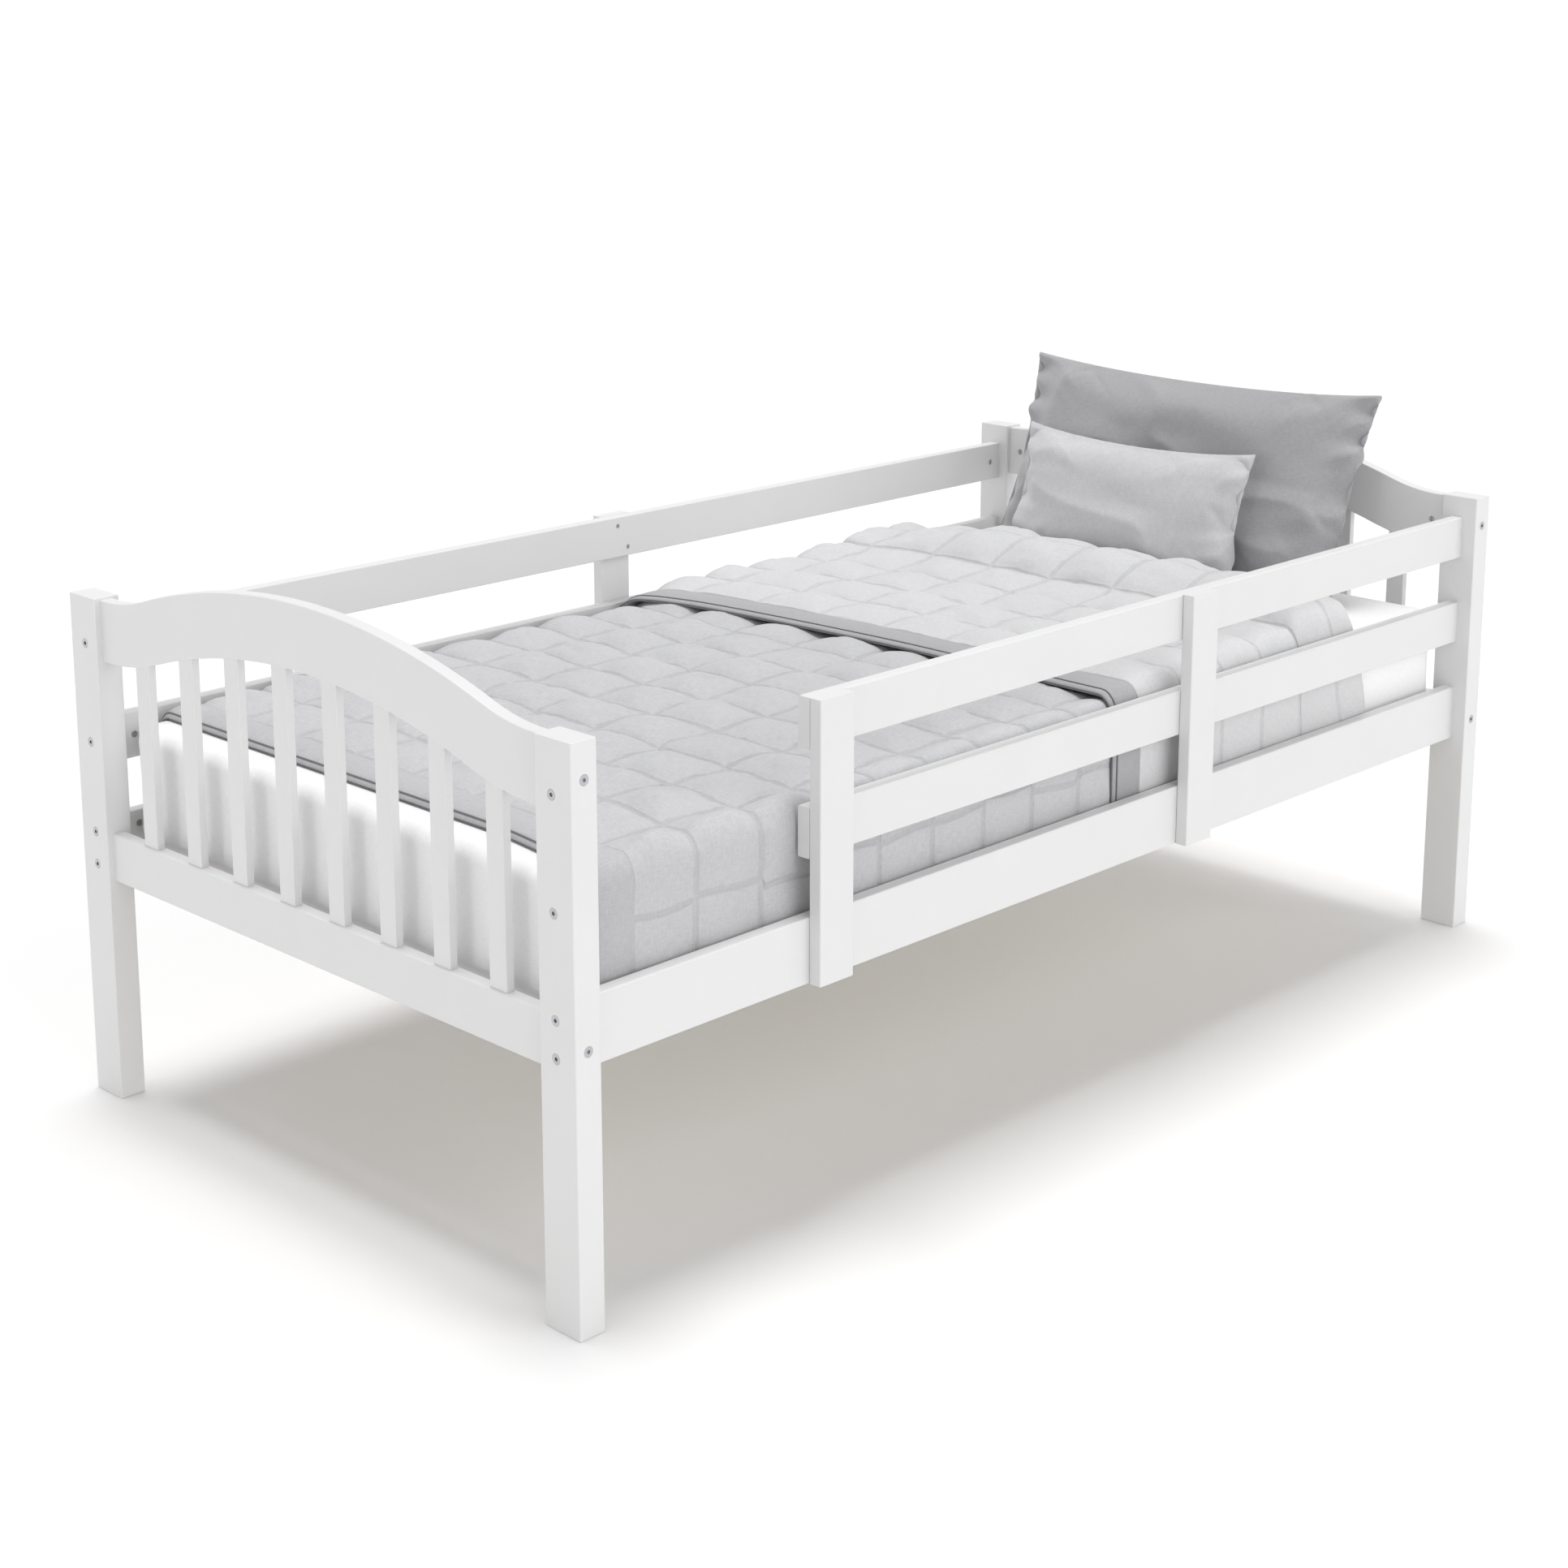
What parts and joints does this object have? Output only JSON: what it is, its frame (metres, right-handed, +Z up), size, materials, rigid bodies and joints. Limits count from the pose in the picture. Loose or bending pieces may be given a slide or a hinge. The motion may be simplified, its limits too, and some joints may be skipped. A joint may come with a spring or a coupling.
{
  "type": "toddler bed",
  "caption": "White wooden single bed with camel-back spindle ends, guard rails with a way in at the foot end, slats, mattress, folded-back quilt and pillows.",
  "frame": {"origin": "on the floor under the middle of the bed", "axes": "+Z up from the floor, +Y along the bed to the head end, +X to the long side that has the way in"},
  "size_m": [1.067, 2.012, 0.9032],
  "materials": {
    "painted_pine": "satin white paint",
    "bare_pine": "planed",
    "beech_dowel": "turned",
    "zinc_steel": "zinc plated",
    "mattress_cover": "woven cotton",
    "quilt_face": "brushed cotton, box quilted",
    "large_pillow_cotton": "woven cotton",
    "small_pillow_cotton": "woven cotton"
  },
  "bodies": {
    "frame": {"far_foot_post": "painted_pine", "near_foot_post": "painted_pine", "far_head_post": "painted_pine", "near_head_post": "painted_pine", "footboard_arch_rail": "painted_pine", "footboard_bottom_rail": "painted_pine", "footboard_spindle_1": "painted_pine", "footboard_spindle_2": "painted_pine", "footboard_spindle_3": "painted_pine", "footboard_spindle_4": "painted_pine", "footboard_spindle_5": "painted_pine", "footboard_spindle_6": "painted_pine", "footboard_spindle_7": "painted_pine", "footboard_spindle_8": "painted_pine", "headboard_arch_rail": "painted_pine", "headboard_bottom_rail": "painted_pine", "headboard_spindle_1": "painted_pine", "headboard_spindle_2": "painted_pine", "headboard_spindle_3": "painted_pine", "headboard_spindle_4": "painted_pine", "headboard_spindle_5": "painted_pine", "headboard_spindle_6": "painted_pine", "headboard_spindle_7": "painted_pine", "headboard_spindle_8": "painted_pine", "near_side_rail": "painted_pine", "near_guard_rail_top": "painted_pine", "near_guard_rail_middle": "painted_pine", "far_side_rail": "painted_pine", "far_guard_rail_top": "painted_pine", "far_guard_rail_middle": "painted_pine", "near_foot_board": "painted_pine", "near_middle_board": "painted_pine", "far_middle_board": "painted_pine", "near_ledger": "bare_pine", "far_ledger": "bare_pine", "slat_1": "bare_pine", "slat_2": "bare_pine", "slat_3": "bare_pine", "slat_4": "bare_pine", "slat_5": "bare_pine", "slat_6": "bare_pine", "slat_7": "bare_pine", "slat_8": "bare_pine", "slat_9": "bare_pine", "slat_10": "bare_pine", "slat_11": "bare_pine", "rail_bolts": "zinc_steel", "end_rail_bolts": "zinc_steel", "blanking_bolts": "zinc_steel", "rail_barrel_nuts": "zinc_steel", "end_rail_barrel_nuts": "zinc_steel", "board_screws": "zinc_steel", "ledger_screws": "zinc_steel", "slat_screws": "zinc_steel", "end_rail_dowels": "beech_dowel"},
    "mattress": {"mattress": "mattress_cover"},
    "quilt": {"quilt": "quilt_face"},
    "large_pillow": {"large_pillow": "large_pillow_cotton"},
    "small_pillow": {"small_pillow": "small_pillow_cotton"}
  },
  "joints": [
    {"name": "mattress_lift", "type": "slide", "parent": "frame", "child": "mattress", "axis": [0, 0, 1], "range_m": [0, 0.45]},
    {"name": "quilt_lift", "type": "slide", "parent": "mattress", "child": "quilt", "axis": [0, -0.2425, 0.9701], "range_m": [0, 0.15]},
    {"name": "large_pillow_lift", "type": "slide", "parent": "mattress", "child": "large_pillow", "axis": [0, 0.3486, 0.9373], "range_m": [0, 0.3]},
    {"name": "small_pillow_lift", "type": "slide", "parent": "mattress", "child": "small_pillow", "axis": [0, 0, 1], "range_m": [0, 0.3]}
  ]
}
